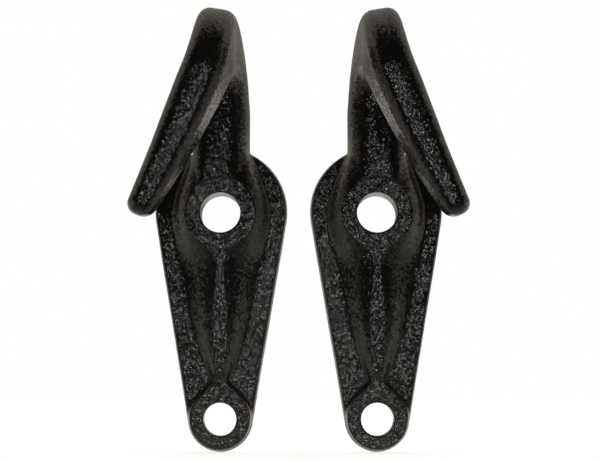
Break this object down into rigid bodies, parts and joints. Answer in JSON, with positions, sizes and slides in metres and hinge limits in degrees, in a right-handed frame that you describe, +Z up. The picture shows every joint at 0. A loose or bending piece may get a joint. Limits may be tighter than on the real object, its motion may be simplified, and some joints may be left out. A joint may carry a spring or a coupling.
{
  "type": "forged chain hook pair",
  "caption": "Left-hand and right-hand pair of black forged bolt-on hooks: ribbed back plate with two bolt bosses and a folded, splayed hook arm.",
  "frame": {"origin": "on the mounting plane, midway between the two hooks, level with their large bolt holes", "axes": "+Z up along the hooks towards the bends, +Y out of the flat mounting backs towards the vehicle, -Y towards the hook arms, +X from the left hook to the right hook"},
  "size_m": [0.1608, 0.0696, 0.2151],
  "materials": {
    "black_powder_coat": "black powder coat with a coarse sparkling grain over as-forged steel"
  },
  "bodies": {
    "root": {"left_hook": "black_powder_coat", "right_hook": "black_powder_coat"}
  },
  "joints": []
}
